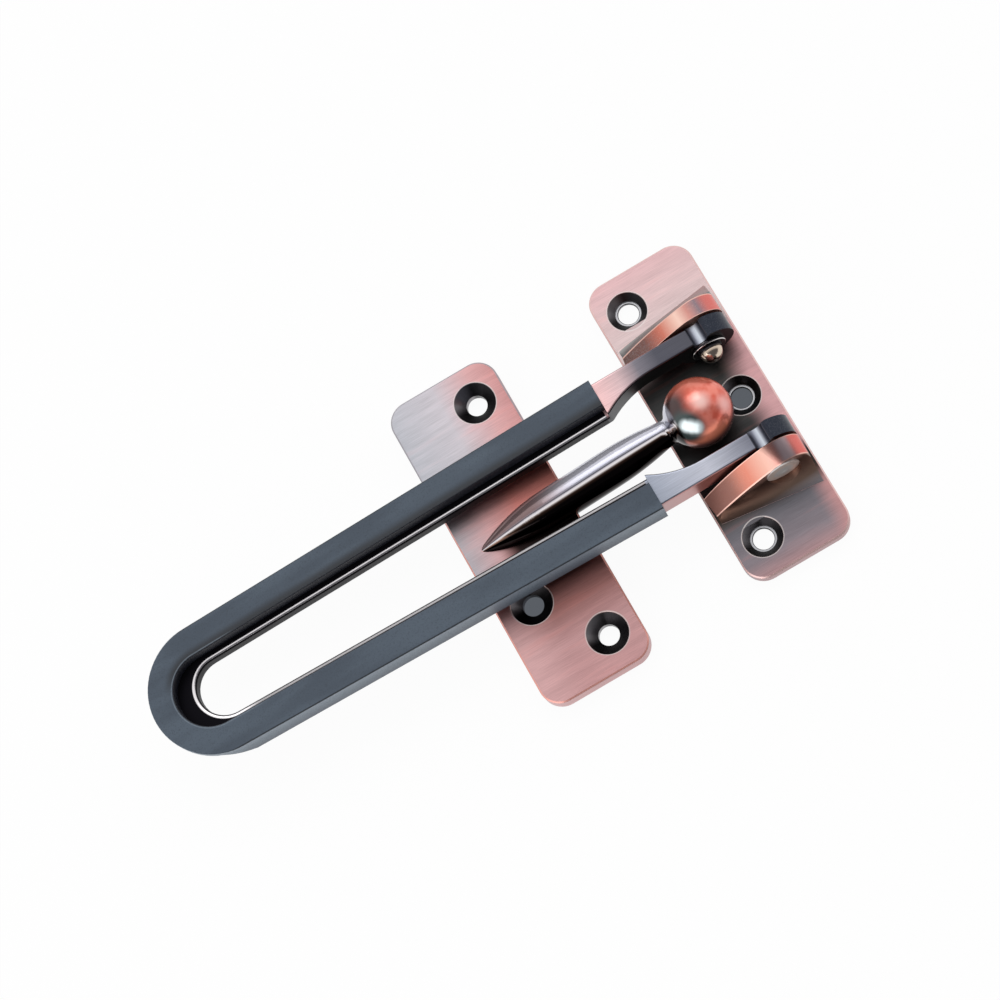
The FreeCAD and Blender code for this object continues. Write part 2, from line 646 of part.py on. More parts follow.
bound(arm_plan, Sketcher.Constraint("DistanceX", *SKETCH_ORIGIN, turn_out, SPOTS["centre"], start_x),
      sleeve_end_x)
doc.recompute()
arm = pad(bar, "arm", arm_plan, bar_top - bar_bottom)
mirror(bar, "other_arm", arm, "XZ_Plane")

eye_face = sketch_on(bar, "eye_face", "XZ_Plane", -arm_outer)
circle_at(eye_face, pivot_x, pivot_z, eye_radius * 2)
doc.recompute()
eye = pad(bar, "eye", eye_face, arm_thick)
mirror(bar, "other_eye", eye, "XZ_Plane")

notch = sketch_on(bar, "notch_side", "XZ_Plane")
sky = pivot_z + eye_radius + notch_open
clear_x = pivot_x - eye_radius * 2
lip_z = bar_top + notch_lip
groove = bend(notch, (notch_left.number, bar_top.number), (notch_right.number, lip_z.number),
              notch_radius.number, 1)
corners = [(notch_right, lip_z), (notch_right + notch_lean, sky), (clear_x, sky), (clear_x, bar_top),
           (notch_left, bar_top)]
walls = []
for first, second in zip(corners, corners[1:]):
    walls.append(line(notch, *[(x.number, z.number) for x, z in (first, second)]))
    hold(notch, walls[-1], "start", *first)
hold(notch, walls[-1], "end", *corners[-1])
chain = walls + [groove]
for i, edge in enumerate(chain):
    join(notch, edge, "end", chain[(i + 1) % len(chain)], "start")
bound(notch, Sketcher.Constraint("Radius", groove, notch_radius.number), notch_radius)
doc.recompute()
cut(bar, "notch", "PartDesign::Pocket", notch, {"SideType": "Symmetric", "Type": "Length"},
    {"Length": hinge_length})
pin_bore(bar, "eye_bores")

fillet(bar, "slot_underside", lip_round,
       lambda edge, middle: is_level(edge, bar_bottom.number) and in_slot(middle) and runs_along(edge))
fillet(bar, "arm_tops", arm_round,
       lambda edge, middle: is_level(edge, bar_top.number) and runs_along(edge))
fillet(bar, "arm_undersides", arm_round,
       lambda edge, middle: is_level(edge, bar_bottom.number) and runs_along(edge)
       and abs(middle.y) > arm_outer.number - TOUCH)


# Keeper

keeper = doc.addObject("PartDesign::Body", "keeper")
keeper.setExpression("Placement.Base.x", keeper_x.text)
keeper.setExpression("Placement.Base.y", keeper_y.text)
plate(keeper, keeper_width, keeper_length, keeper_thick, keeper_seat,
      [(keeper_row_x, keeper_row_y), (keeper_row_x, -keeper_row_y), (keeper_third_x, keeper_third_y)])
stem = sketch_on(keeper, "stem_profile", "XZ_Plane")
stem.AttachmentOffset = FreeCAD.Placement(
    FreeCAD.Vector(ball_x.number, ball_z.number, 0),
    FreeCAD.Rotation(FreeCAD.Vector(0, 0, 1), 180 + stem_slope.number))
stem.setExpression("AttachmentOffset.Base.x", ball_x.text)
stem.setExpression("AttachmentOffset.Base.y", ball_z.text)
stem.setExpression("AttachmentOffset.Rotation.Angle", "180 + " + stem_slope.text)
doc.recompute()
swell_y = belly_radius - stem_swell
tip_reach = stem_tip - belly_far
tip_curve = (tip_reach * tip_reach + belly_radius * belly_radius) / (belly_radius * 2)
swell_gap = math.hypot(belly_near.number, swell_y.number)
neck = math.atan2(swell_y.number, belly_near.number) + math.acos(
    (swell_gap ** 2 + ball_radius.number ** 2 - stem_swell.number ** 2)
    / (2 * swell_gap * ball_radius.number))
neck_place = (ball_radius.number * math.cos(neck), ball_radius.number * math.sin(neck))
ball = arc(stem, (0, 0), ball_radius.number, neck, math.pi)
swell = bend(stem, neck_place, (belly_near.number, belly_radius.number), stem_swell.number, -1)
belly = line(stem, (belly_near.number, belly_radius.number), (belly_far.number, belly_radius.number))
taper = bend(stem, (belly_far.number, belly_radius.number), (stem_tip.number, 0), tip_curve.number, -1)
spine = line(stem, (stem_tip.number, 0), (-ball_radius.number, 0))
join(stem, ball, "start", swell, "end")
join(stem, swell, "start", belly, "start")
join(stem, belly, "end", taper, "end")
join(stem, taper, "start", spine, "start")
join(stem, spine, "end", ball, "end")
stem.addConstraint(Sketcher.Constraint("Coincident", ball, SPOTS["centre"], *SKETCH_ORIGIN))
bound(stem, Sketcher.Constraint("Radius", ball, ball_radius.number), ball_radius)
hold(stem, swell, "centre", belly_near, swell_y)
hold(stem, belly, "start", belly_near, belly_radius)
hold(stem, belly, "end", belly_far, belly_radius)
hold(stem, spine, "start", stem_tip, ZERO)
stem.addConstraint(Sketcher.Constraint("PointOnObject", spine, SPOTS["end"], -1))
bound(stem, Sketcher.Constraint("DistanceX", *SKETCH_ORIGIN, taper, SPOTS["centre"], belly_far.number),
      belly_far)
doc.recompute()
turned = keeper.newObject("PartDesign::Revolution", "stem_and_ball")
turned.Profile = stem
turned.ReferenceAxis = (stem, ["H_Axis"])
doc.recompute()
fillet(keeper, "neck_blend", neck_blend,
       lambda edge, middle: edge.Closed and belly_radius.number - TOUCH > edge.Length / (2 * math.pi)
       and middle.x > plate_corner.number + keeper_width.number / 2)


# Solids, one file each

doc.recompute()
bodies = doc.findObjects("PartDesign::Body")
for item in doc.Objects:
    if "Invalid" in item.State or "Error" in item.State:
        raise ValueError("%s is in error" % item.Name)
os.makedirs("parts", exist_ok=True)
for body in bodies:
    solid = body.Shape
    if solid.isNull() or not solid.isValid() or len(solid.Solids) != 1:
        raise ValueError("%s isn't one sound solid" % body.Label)
    solid.exportStep("parts/%s.step" % body.Label)
    print("%-20s %7.3f cm3" % (body.Label, solid.Volume / 1000))
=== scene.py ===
# %% [markdown]
# # A swing-bar door guard
#
# Two plates are screwed to a door and its frame. A slotted bar, hinged between two ears of the
# first plate, folds over a ball on the second one, so that the door opens only a little way.
# The solids come in as a fixed frame that already has every true size. This lesson gives them
# what a solid can't carry: red antique copper, a slate grey sleeve, turned steel, and light.

# %% Bring in the guard
import math
import bpy
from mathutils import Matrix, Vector

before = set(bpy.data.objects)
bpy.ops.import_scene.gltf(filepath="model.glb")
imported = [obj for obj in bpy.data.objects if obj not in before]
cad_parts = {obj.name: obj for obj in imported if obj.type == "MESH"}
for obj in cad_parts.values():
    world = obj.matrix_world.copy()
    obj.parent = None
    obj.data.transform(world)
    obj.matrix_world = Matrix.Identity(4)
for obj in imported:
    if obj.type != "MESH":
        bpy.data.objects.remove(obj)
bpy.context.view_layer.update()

print("nodes:", ", ".join(sorted(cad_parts)))

# %% [markdown]
# ## The camera
#
# The guard is photographed from almost straight above, from far enough away that its two
# plates look nearly parallel. A long lens does that. The three turns were found by laying the
# solids' edges over the picture until plates, ball and loop all fell into place.

# %% Place the camera
camera = bpy.data.objects.new("camera", bpy.data.cameras.new("camera"))
bpy.context.scene.collection.objects.link(camera)
camera.location = (-0.02598, -0.20281, 0.66739)
camera.rotation_euler = (0.24811, 0.18589, -0.50323)
camera.data.sensor_width = 36.0
camera.data.lens = 110.31
camera.data.clip_start = 0.01
bpy.context.scene.camera = camera
print("camera %.0f mm away, lens %.0f mm" % (camera.location.length * 1000, camera.data.lens))

# %% [markdown]
# ## A small kit for finishes
#
# Every finish here is worked out from where a point is on the part, so it needs no pictures and
# stays in place when the bar swings. Nodes can be wired by hand in the editor. Writing them as
# short calls makes it easier to see that a finish is only a few masks laid over each other.

# %% A finish and its nodes
class Finish:
    """A material that is built up from masks and coats."""

    def __init__(self, name):
        self.material = bpy.data.materials.new(name)
        self.material.use_nodes = True
        self.tree = self.material.node_tree
        self.tree.nodes.clear()
        self.output = self.add("ShaderNodeOutputMaterial")
        self.shader = self.add("ShaderNodeBsdfPrincipled")
        self.tree.links.new(self.shader.outputs[0], self.output.inputs["Surface"])
        where = self.add("ShaderNodeTexCoord")
        self.spot = self.add("ShaderNodeVectorMath", where.outputs["Object"], operation="SCALE")
        self.spot.inputs["Scale"].default_value = 1000.0
        self.spot = self.spot.outputs[0]
        self.x, self.y, self.z = self.add("ShaderNodeSeparateXYZ", self.spot).outputs
        self.facing = self.add("ShaderNodeSeparateXYZ", where.outputs["Normal"]).outputs

    def add(self, kind, *inputs, **settings):
        """Adds a node, sets its options, and feeds its sockets in order."""
        node = self.tree.nodes.new(kind)
        for name, value in settings.items():
            setattr(node, name, value)
        for socket, value in zip(node.inputs, inputs):
            self.feed(socket, value)
        return node

    def feed(self, socket, value):
        """Links a socket to another node's output, or sets it to a plain value."""
        if isinstance(value, bpy.types.NodeSocket):
            self.tree.links.new(value, socket)
        elif value is not None:
            socket.default_value = value

    def calc(self, operation, *values):
        """One step of arithmetic."""
        return self.add("ShaderNodeMath", *values, operation=operation).outputs[0]

    def rise(self, value, low, high):
        """A mask that goes smoothly from 0 at low to 1 at high, or the other way round."""
        node = self.add("ShaderNodeMapRange", value, low, high, 0.0, 1.0)
        node.interpolation_type = "SMOOTHSTEP"
        return node.outputs[0]

    def both(self, *masks):
        """Where all the masks meet."""
        result = masks[0]
        for mask in masks[1:]:
            result = self.calc("MULTIPLY", result, mask)
        return result

    def either(self, *masks):
        """Where any of the masks lies."""
        result = masks[0]
        for mask in masks[1:]:
            result = self.calc("MAXIMUM", result, mask)
        return result

    def outside(self, mask):
        """The rest of the surface."""
        return self.calc("SUBTRACT", 1.0, mask)

    def band(self, value, low, high, soft):
        """A mask of the values between low and high, with soft ends."""
        return self.both(self.rise(value, low - soft, low + soft), self.rise(value, high + soft, high - soft))

    def near(self, place, radius, soft):
        """A round mask about a place in the part, with a soft edge."""
        away = self.add("ShaderNodeVectorMath", self.spot, place, operation="DISTANCE").outputs["Value"]
        return self.rise(away, radius + soft, radius - soft)

    def blend(self, under, over, mask):
        """One colour laid over another through a mask."""
        node = self.add("ShaderNodeMix", data_type="RGBA")
        self.feed(node.inputs["Factor"], mask)
        self.feed(node.inputs["A"], under)
        self.feed(node.inputs["B"], over)
        return node.outputs["Result"]

    def coats(self, skin, *layers):
        """Colours laid over a skin one after the other, each through its own mask."""
        for colour, mask in layers:
            skin = self.blend(skin, colour, mask)
        return skin

    def shades(self, value, *stops):
        """A colour that changes along a value, from stops that each give a place and a colour."""
        first, last = stops[0][0], stops[-1][0]
        along = self.add("ShaderNodeMapRange", value, first, last, 0.0, 1.0).outputs[0]
        ramp = self.add("ShaderNodeValToRGB", along)
        marks = ramp.color_ramp.elements
        while len(marks) < len(stops):
            marks.new(0.5)
        for mark, (place, colour) in zip(marks, stops):
            mark.color = colour
        for mark, (place, colour) in zip(marks, stops):
            mark.position = (place - first) / (last - first)
        return ramp.outputs[0]

    def level(self, under, over, mask):
        """One number laid over another through a mask."""
        node = self.add("ShaderNodeMix", data_type="FLOAT")
        self.feed(node.inputs["Factor"], mask)
        self.feed(node.inputs["A"], under)
        self.feed(node.inputs["B"], over)
        return node.outputs["Result"]


print("finish kit ready")

# %% [markdown]
# ## Colours
#
# Colours are easiest to judge as screen values, from 0 to 255. Shaders want linear light, so
# one helper turns the first into the second.

# %% A colour from its screen values
def screen(red, green, blue):
    """A linear colour from its values on the screen."""
    linear = [((value / 255 + 0.055) / 1.055) ** 2.4 for value in (red, green, blue)]
    return (*linear, 1.0)


print("mid grey is %.3f in linear light" % screen(128, 128, 128)[0])

# %% [markdown]
# ## Brushing
#
# The plates are satin because a belt has dragged thousands of fine scratches along the bar's
# direction. A noise that is squeezed across the belt and stretched along it gives such lines.
# They are used three times: in the colour, in the gloss and as a very shallow relief.

# %% Brushed lines and blotches
def stretched_noise(finish, along, across, detail=3.0):
    """Noise in lines along X, with its grain lengths in millimetres."""
    squeeze = finish.add("ShaderNodeVectorMath", finish.spot, (1 / along, 1 / across, 1 / across),
                         operation="MULTIPLY")
    noise = finish.add("ShaderNodeTexNoise", squeeze.outputs[0])
    noise.inputs["Scale"].default_value = 1.0
    noise.inputs["Detail"].default_value = detail
    return noise.outputs["Fac"]


def relief(finish, height, depth, strength):
    """A bump with its depth in millimetres."""
    bump = finish.add("ShaderNodeBump")
    bump.inputs["Strength"].default_value = strength
    bump.inputs["Distance"].default_value = depth / 1000
    finish.feed(bump.inputs["Height"], height)
    finish.feed(finish.shader.inputs["Normal"], bump.outputs[0])


def near_hole(finish, holes, radius, soft):
    """A mask of the round areas about some holes, each an X and Y in millimetres."""
    flat = finish.add("ShaderNodeCombineXYZ", finish.x, finish.y).outputs[0]
    masks = []
    for x, y in holes:
        away = finish.add("ShaderNodeVectorMath", flat, (x, y, 0.0), operation="DISTANCE").outputs["Value"]
        masks.append(finish.rise(away, radius + soft, radius - soft))
    return finish.either(*masks)


print("brushing ready")

# %% [markdown]
# ## Hinge plate
#
# Antique copper is a plated finish: the copper is darkened with a chemical, and then brushed so
# that it comes back where the brush reaches. Between the ears and beside the lower one the plate
# is painted nearly black: partly the dark coat that the brush misses, partly painted shade of the
# ears, the bar and the ball. It is painted pink towards the free edge and the upper end, and mauve
# grey at the lower end, which is painted reflection. A colour ramp along Y gives that in a handful
# of stops, where painting it by hand would need an image.

# %% Colours of antique copper
pink = screen(202, 166, 168)
rose = screen(206, 150, 148)
mauve = screen(126, 122, 130)
coral = screen(214, 112, 96)
soot = screen(50, 48, 50)
night = screen(38, 38, 41)
olive = screen(62, 62, 62)
rubbed_edge_highlight = screen(232, 196, 192)

hinge_holes = [(-6.0, 31.1), (-6.0, -31.1), (6.2, 0.0)]
plate_front = 2.8


def brushed(finish, skin, lines, streaks):
    """A skin with fine light and dark lines of brushing, and broader faint streaks."""
    fine = finish.level(0.85, 1.1, finish.rise(lines, 0.25, 0.75))
    broad = finish.level(0.93, 1.05, finish.rise(streaks, 0.3, 0.7))
    lit = finish.add("ShaderNodeVectorMath", skin, operation="SCALE")
    finish.feed(lit.inputs["Scale"], finish.calc("MULTIPLY", fine, broad))
    return finish.coats(lit.outputs[0], (coral, finish.both(finish.rise(streaks, 0.55, 0.75), 0.08)))


print("colours ready")

# %% The flats of the hinge plate
copper = Finish("antique_copper")
lines = stretched_noise(copper, 6.0, 0.1)
streaks = stretched_noise(copper, 18.0, 1.6, 2.0)
# Painted shade between and beside the ears, over the dark coat, and painted reflection: pink at the upper
# end, mauve grey at the lower end.
flats = copper.shades(copper.y, (-40.0, screen(176, 140, 142)), (-35.5, screen(136, 126, 132)),
                      (-27.5, screen(110, 108, 114)), (-23.5, screen(62, 54, 48)),
                      (-19.0, screen(50, 48, 50)),
                      (-4.0, olive), (12.0, screen(84, 84, 84)), (21.0, screen(200, 184, 183)), (40.0, pink))
# Painted reflection: pinker towards the free edge between the ears, and rose at the lower end's right.
between = copper.rise(copper.calc("ABSOLUTE", copper.y), 19.0, 15.0)
open_edge = copper.both(between, copper.rise(copper.calc("ADD", copper.x, copper.calc(
    "MULTIPLY", copper.calc("ABSOLUTE", copper.y), -0.12)), 4.0, 11.0))
painted_rose_reflection = copper.both(copper.rise(copper.y, -22.0, -28.0), copper.rise(copper.x, 8.0, 13.5), 0.75)
flats = copper.coats(flats, (screen(196, 152, 154), open_edge), (rose, painted_rose_reflection))
flats = brushed(copper, flats, lines, streaks)

# %% [markdown]
# ## The ears
#
# The crest of an ear bends little by little, and its colour is painted to run from brown at the
# toe through orange and a cream highlight to a grey band and coral at the crown, which is painted
# reflection and highlight. The lower ear is painted in other shades than the upper one. The
# hollow foot outside each ear is painted grey and brown, and the upright cheeks darker towards
# the plate, which is painted reflection and shade. These are masks of height and of the way a
# face looks, which are known in the part itself and so hold from any side.

# %% Ears and their hollow feet
raised = copper.rise(copper.z, plate_front + 0.04, plate_front + 0.12)
upright = copper.rise(copper.facing[2], 0.22, 0.08)
outward = copper.calc("ABSOLUTE", copper.y)
ear_toe, ear_crown = -13.0, 13.0
# Painted reflection and highlight along the crest: brown toe, orange, cream highlight, grey band, coral
# crown.
crest = copper.shades(copper.x, (ear_toe, screen(98, 74, 70)), (-6.5, screen(118, 80, 74)),
                      (-2.0, screen(210, 120, 100)), (2.4, screen(252, 212, 196)),
                      (5.0, screen(214, 150, 140)), (7.6, screen(140, 124, 132)),
                      (9.6, screen(210, 118, 112)), (ear_crown, screen(230, 102, 90)))
specks = copper.add("ShaderNodeTexNoise", copper.spot)
specks.inputs["Scale"].default_value = 2.8
crest = copper.coats(crest, (screen(132, 126, 130), copper.both(
    copper.rise(specks.outputs["Fac"], 0.5, 0.62), copper.rise(copper.x, -2.0, -6.0), 0.35)),
    (screen(255, 224, 206), copper.both(copper.rise(lines, 0.55, 0.75), 0.35)))
# The upright cheeks are painted darker towards the plate, a painted shade.
cheek = copper.shades(copper.z, (plate_front, screen(96, 74, 62)), (7.0, screen(142, 106, 94)),
                      (16.0, screen(150, 112, 102)))
# The hollow feet are painted grey and brown, a painted reflection and shade.
foot = copper.shades(copper.y, (-27.2, screen(158, 154, 160)), (-24.8, screen(106, 88, 78)),
                     (-21.9, screen(128, 94, 80)), (21.9, screen(112, 114, 114)),
                     (24.8, screen(176, 172, 170)),
                     (27.2, screen(208, 184, 183)))
ear_inside, ear_outside = 17.0, 21.9
beyond = copper.rise(outward, ear_outside - 0.1, ear_outside + 0.05)
# The lower ear is painted in other shades than the upper one, a darker sail and a lighter crown: painted
# light and shade.
lower_ear = copper.rise(copper.y, 0.0, -1.0)
lower_sail = copper.both(lower_ear, copper.rise(copper.x, 5.0, 2.0), 0.6)
lower_toe = copper.both(lower_ear, copper.rise(copper.x, -3.0, -8.0), 0.7)
lower_crown = copper.both(lower_ear, copper.band(copper.x, 6.4, 9.0, 0.8), 0.9)
crest = copper.coats(crest, (screen(176, 118, 102), lower_sail), (screen(112, 80, 74), lower_toe),
                     (screen(224, 200, 204), lower_crown))
# A thin painted highlight along both edges of each crest.
crest_edge_highlight = copper.either(copper.band(outward, ear_outside - 0.3, ear_outside + 0.05, 0.06),
                           copper.band(outward, ear_inside - 0.1, ear_inside + 0.2, 0.06))
crest = copper.coats(crest, (screen(244, 196, 182), copper.both(crest_edge_highlight, 0.8)))
skin = copper.coats(flats, (foot, copper.both(raised, beyond)),
                    (crest, copper.both(raised, copper.outside(beyond))),
                    (cheek, copper.both(raised, upright)))
print("crest runs from x %.1f to %.1f mm" % (ear_toe, ear_crown))

# %% [markdown]
# ## Countersinks and rims
#
# The dark coat stays in a countersink, because the brush passes over it, and so it is the
# darkest place; a painted sheen lightens one side of its cone. Its sharp rim and the edges of the
# plate are rubbed bright and also carry a painted highlight, and the step at its bottom is painted
# light grey, a painted highlight. A bright line that thin is what tells the eye that an edge is
# metal. The back, which is against the door, is plain brushed mauve.

# %% Countersinks, steps and rubbed edges
def countersunk(finish, skin, holes, front, radius):
    """Dark countersinks, with a painted sheen and a rubbed rim with a painted highlight, at a plate's front
    height.
    """
    below = finish.rise(finish.z, front + 0.02, front - 0.06)
    rim = finish.both(near_hole(finish, holes, radius + 0.16, 0.08),
                      finish.outside(near_hole(finish, holes, radius - 0.12, 0.06)))
    seat = finish.both(near_hole(finish, holes, radius - 0.1, 0.06), below)
    # A painted sheen lightens the side of the cone that faces +X and -Y.
    lean = finish.calc("MULTIPLY", finish.calc("SUBTRACT", finish.facing[0], finish.facing[1]), 0.7)
    seat_coat_and_painted_sheen = finish.blend(soot, screen(150, 146, 150), finish.both(finish.rise(lean, 0.35, 0.72), 0.7))
    return finish.coats(skin, (screen(206, 198, 196), finish.both(rim, 0.7)), (seat_coat_and_painted_sheen, seat)), seat


def rubbed_edges_and_highlight(finish, skin, front, depth, colour):
    """A thin line of rubbed metal and painted highlight along the rounded edges of a plate."""
    rub_and_highlight = finish.both(finish.rise(finish.z, front - depth - 0.06, front - depth),
                      finish.rise(finish.z, front + 0.06, front + 0.02),
                      finish.rise(finish.facing[2], 0.985, 0.93))
    return finish.coats(skin, (colour, finish.both(rub_and_highlight, 0.9)))


edge_depth, hinge_sink, step_radius = 0.3, 4.7, 3.12
# Rubbed edges with a painted highlight.
skin = rubbed_edges_and_highlight(copper, skin, plate_front, edge_depth, rubbed_edge_highlight)
skin, seats = countersunk(copper, skin, hinge_holes, plate_front, hinge_sink)
# The step at the bottom of each countersink is painted light grey, a painted highlight.
steps = copper.both(near_hole(copper, hinge_holes, step_radius, 0.05),
                    copper.rise(copper.facing[2], 0.8, 0.95))
skin = copper.coats(skin, (screen(176, 176, 180), steps))
back = copper.rise(copper.facing[2], -0.8, -0.95)
skin = copper.coats(skin, (brushed(copper, mauve[:3], lines, streaks), back))
copper.feed(copper.shader.inputs["Base Color"], skin)
copper.feed(copper.shader.inputs["Metallic"], copper.level(1.0, 0.5, copper.both(raised, upright)))
gloss = copper.level(copper.level(0.28, 0.44, lines), 0.34, copper.either(seats, raised))
copper.feed(copper.shader.inputs["Roughness"], gloss)
relief(copper, lines, 0.02, 0.25)
print("countersinks: %d, %.1f mm across" % (len(hinge_holes), hinge_sink * 2))

# %% [markdown]
# ## Keeper plate
#
# The keeper's plate has the same finish in other painted shades: silver turning pink at its upper
# end, coppery in the middle, and dull rose at its lower end, which is painted reflection, and
# darker towards the bar and the stem, which is painted shade. Two ramps along X, for the upper end
# and the middle, and one along Y, for the lower end, are blended by where a point lies along
# the plate. A pink patch of painted reflection lies at its lower left. The stem's shadow is
# painted into the colour too.

# %% Flats of the keeper
keeper_front, keeper_sink = 4.5, 4.95
keeper_holes = [(-46.7, 30.15), (-46.7, -32.55), (-58.2, -17.8)]

keeper = Finish("polished_copper")
lines = stretched_noise(keeper, 6.0, 0.1)
streaks = stretched_noise(keeper, 18.0, 1.6, 2.0)
# Painted reflection across the plate, and painted shade darker towards the bar and the stem.
upper_end = keeper.shades(keeper.x, (-66.4, screen(176, 177, 184)), (-54.0, screen(190, 184, 190)),
                          (-45.0, screen(202, 158, 158)), (-39.0, screen(190, 138, 137)))
middle = keeper.shades(keeper.x, (-66.4, screen(178, 174, 180)), (-58.0, screen(204, 160, 160)),
                       (-50.0, screen(200, 126, 118)), (-39.0, screen(150, 92, 84)))
lower_end = keeper.shades(keeper.y, (-41.5, screen(196, 150, 150)), (-30.0, screen(188, 146, 146)),
                          (-22.0, screen(152, 106, 102)), (-14.0, screen(140, 92, 86)))
flats = keeper.coats(upper_end, (middle, keeper.rise(keeper.y, 20.0, 12.0)),
                     (lower_end, keeper.rise(keeper.y, -8.0, -14.0)),
                     (screen(214, 172, 172), keeper.both(keeper.rise(keeper.y, -10.0, -22.0),
                                                         keeper.rise(keeper.x, -54.0, -66.0), 0.7)))
flats = brushed(keeper, flats, lines, streaks)
beside_stem = keeper.both(keeper.band(keeper.y, -9.5, -2.6, 1.0), keeper.rise(keeper.x, -60.0, -54.0))
flats = keeper.coats(flats, (screen(40, 32, 31), beside_stem))
# Rubbed edge line with a painted highlight, pinker at the lower end and greyer at the upper end.
edge_highlight_colour = keeper.blend(screen(238, 170, 158), screen(166, 162, 168), keeper.rise(keeper.y, 2.0, 20.0))
skin = rubbed_edges_and_highlight(keeper, flats, keeper_front, edge_depth, edge_highlight_colour)
skin, seats = countersunk(keeper, skin, keeper_holes, keeper_front, keeper_sink)

# %% [markdown]
# ## Stem and ball
#
# These are polished on a mop instead. The stem's light upper side, the thin highlight along its
# crest and its black lower side are painted reflections. The ball is coral, with a dark cloud
# towards the neck that is a painted reflection, and it is painted darker towards +Y and lighter
# towards -Y, painted light and shade. It keeps a share of plain colour under its shine, so that
# it isn't black wherever it mirrors something dark. On the real ball the light patches and the
# dark rim are reflections.
# Here they are drawn by place, which matches the photograph and costs little, but they don't
# move when the ball is seen from another side.

# %% Polished stem and ball
ball_place, ball_reach = (-4.3, -1.2, 11.7), 8.25
neck_x, plate_end_x = -10.0, -38.7
on_ball = keeper.both(keeper.near(ball_place, ball_reach, 0.1),
                      keeper.rise(keeper.x, neck_x - 0.4, neck_x + 0.4))
# Painted reflections on the stem: black below, a thin highlight along the crest, lavender above, brownish
# where it leaves the plate.
stem = keeper.shades(keeper.facing[1], (-1.0, screen(32, 27, 27)), (-0.42, screen(32, 27, 27)),
                     (-0.28, screen(108, 80, 66)), (-0.18, screen(240, 234, 234)),
                     (-0.1, screen(214, 210, 216)),
                     (-0.04, screen(72, 70, 80)), (0.04, screen(160, 160, 174)), (0.2, screen(206, 206, 218)),
                     (1.0, screen(206, 206, 216)))
stem = keeper.coats(stem, (screen(126, 92, 86), keeper.both(
    keeper.rise(keeper.x, -34.0, -48.0), keeper.rise(keeper.facing[1], -0.1, 0.1), 0.85)))
swirl = keeper.add("ShaderNodeTexNoise", keeper.spot)
swirl.inputs["Scale"].default_value = 0.35
ball = keeper.blend(screen(250, 142, 124), screen(230, 104, 84), keeper.rise(swirl.outputs["Fac"], 0.4, 0.65))
# Painted reflections on the ball: a white window patch in a teal ring, two pink highlights, a dark cloud
# towards the neck and a dark lower rim; painted darker towards +Y and lighter towards -Y.
window = keeper.either(keeper.near((-8.3, -4.2, 17.4), 1.5, 0.7), keeper.near((-7.4, -5.0, 17.7), 1.6, 0.7),
                       keeper.near((-6.5, -5.8, 17.8), 1.5, 0.7))
ball = keeper.coats(ball, (screen(192, 102, 82), keeper.both(keeper.rise(keeper.y, 0.5, 4.5), 0.7)),
                    (screen(255, 150, 120), keeper.rise(keeper.y, -6.0, -8.0)),
                    (screen(48, 50, 52), keeper.both(keeper.near((-9.6, 0.6, 17.8), 4.3, 2.2), 0.95)),
                    (screen(84, 74, 82), keeper.both(keeper.rise(keeper.z, 14.6, 12.4), 0.8)),
                    (screen(255, 216, 208), keeper.both(keeper.near((-2.8, -1.6, 19.6), 1.8, 1.7), 0.85)),
                    (screen(255, 196, 190), keeper.both(keeper.near((2.0, -4.2, 16.8), 1.9, 1.6), 0.85)),
                    (screen(70, 82, 82), keeper.near((-8.2, -4.6, 17.2), 3.9, 1.2)),
                    (screen(236, 248, 250), window))
polished = keeper.either(keeper.rise(keeper.z, keeper_front + 0.03, keeper_front + 0.08),
                         keeper.rise(keeper.x, plate_end_x - 0.1, plate_end_x + 0.1))
skin = keeper.coats(skin, (stem, polished), (ball, on_ball))
back = keeper.both(keeper.rise(keeper.facing[2], -0.8, -0.95), keeper.outside(polished))
skin = keeper.coats(skin, (brushed(keeper, mauve[:3], lines, streaks), back))
keeper.feed(keeper.shader.inputs["Base Color"], skin)
upper_side = keeper.both(polished, keeper.rise(keeper.facing[1], -0.1, 0.1))
shine = keeper.level(keeper.level(1.0, 0.5, upper_side), 0.38, on_ball)
keeper.feed(keeper.shader.inputs["Metallic"], shine)
gloss = keeper.level(keeper.level(0.28, 0.44, lines), 0.3, seats)
gloss = keeper.level(keeper.level(gloss, 0.1, polished), 0.22, on_ball)
keeper.feed(keeper.shader.inputs["Roughness"], gloss)
relief(keeper, keeper.both(lines, keeper.outside(polished)), 0.02, 0.25)
print("ball centre: x %.1f, y %.1f, z %.1f mm" % ball_place)

# %% [markdown]
# ## Bar
#
# The bar shows at its bare arms and as a bright lip inside the slot, whose brightness is a painted
# highlight. The arms' tops are brushed, and painted along their length with reflection and shade:
# pink where they leave the sleeve, grey beyond, nearly black over the eyes, and in other shades on
# the upper arm than on the lower one. Their inner sides and the ledge beside the lip are painted
# nearly black, painted shade over the dark coat. The notch is painted with shade and a highlight.
# The loop is two straight arms and a round turn, so the distance to its middle line is one measure
# that serves for both: past the turn's centre it counts along X as well.

# %% Distance from the loop's middle line
def from_middle(finish, turn_x, spread):
    """How far a point is from the loop's middle line, less how much the arms spread by there."""
    past_turn = finish.calc("SUBTRACT", finish.x, turn_x)
    round_turn = finish.calc("MINIMUM", past_turn, 0.0)
    across = finish.add("ShaderNodeCombineXYZ", round_turn, finish.y).outputs[0]
    away = finish.add("ShaderNodeVectorMath", across, operation="LENGTH").outputs["Value"]
    along_arm = finish.calc("MAXIMUM", past_turn, 0.0)
    return finish.calc("SUBTRACT", away, finish.calc("MULTIPLY", along_arm, spread))


print("loop measure ready")

# %% Bare arms
bar = Finish("bar_metal")
lines = stretched_noise(bar, 7.0, 0.12)
streaks = stretched_noise(bar, 14.0, 1.4, 2.0)
